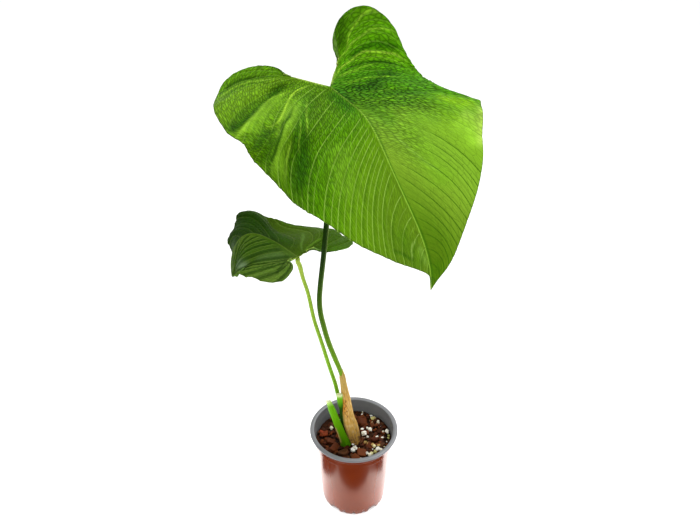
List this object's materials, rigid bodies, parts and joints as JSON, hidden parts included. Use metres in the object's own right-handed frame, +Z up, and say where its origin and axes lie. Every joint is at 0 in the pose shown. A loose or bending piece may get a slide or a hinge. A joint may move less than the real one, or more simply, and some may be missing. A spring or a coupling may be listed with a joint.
{
  "type": "potted anthurium rugulosum",
  "caption": "Potted aroid with a large heart-shaped puckered leaf on a tall bent stalk, a smaller leaf below it, cut stalk bases and a dry sheath, in a round nursery pot of soil.",
  "frame": {"origin": "centre of the pot's flat underside", "axes": "+Z up along the pot's axis, -Y towards the viewer of the picture, +X to the viewer's right"},
  "size_m": [0.2408, 0.2112, 0.5554],
  "materials": {
    "pot_plastic": "glossy terracotta brown outside, grey inside and on the rim",
    "potting_soil": "dark red-brown bark and coconut chips with white perlite",
    "stem": "matt brown stem and pale roots",
    "stalk_dark": "smooth, dark green above and fresh green below",
    "stalk_light": "smooth light yellow-green",
    "leaf_large": "satin green with sunken side veins and a puckered net",
    "leaf_small": "satin dark green with yellow-green ribs",
    "dry_sheath": "dry tan, papery and speckled brown",
    "cut_stalk": "smooth bright green with a pale cut end"
  },
  "bodies": {
    "root": {"pot": "pot_plastic", "soil": "potting_soil", "stem_with_roots": "stem", "leaf_stalk_large": "stalk_dark", "leaf_blade_large": "leaf_large", "leaf_stalk_small": "stalk_light", "leaf_blade_small": "leaf_small", "dry_sheath": "dry_sheath", "cut_stalk_front": "cut_stalk", "cut_stalk_back": "cut_stalk"}
  },
  "joints": []
}
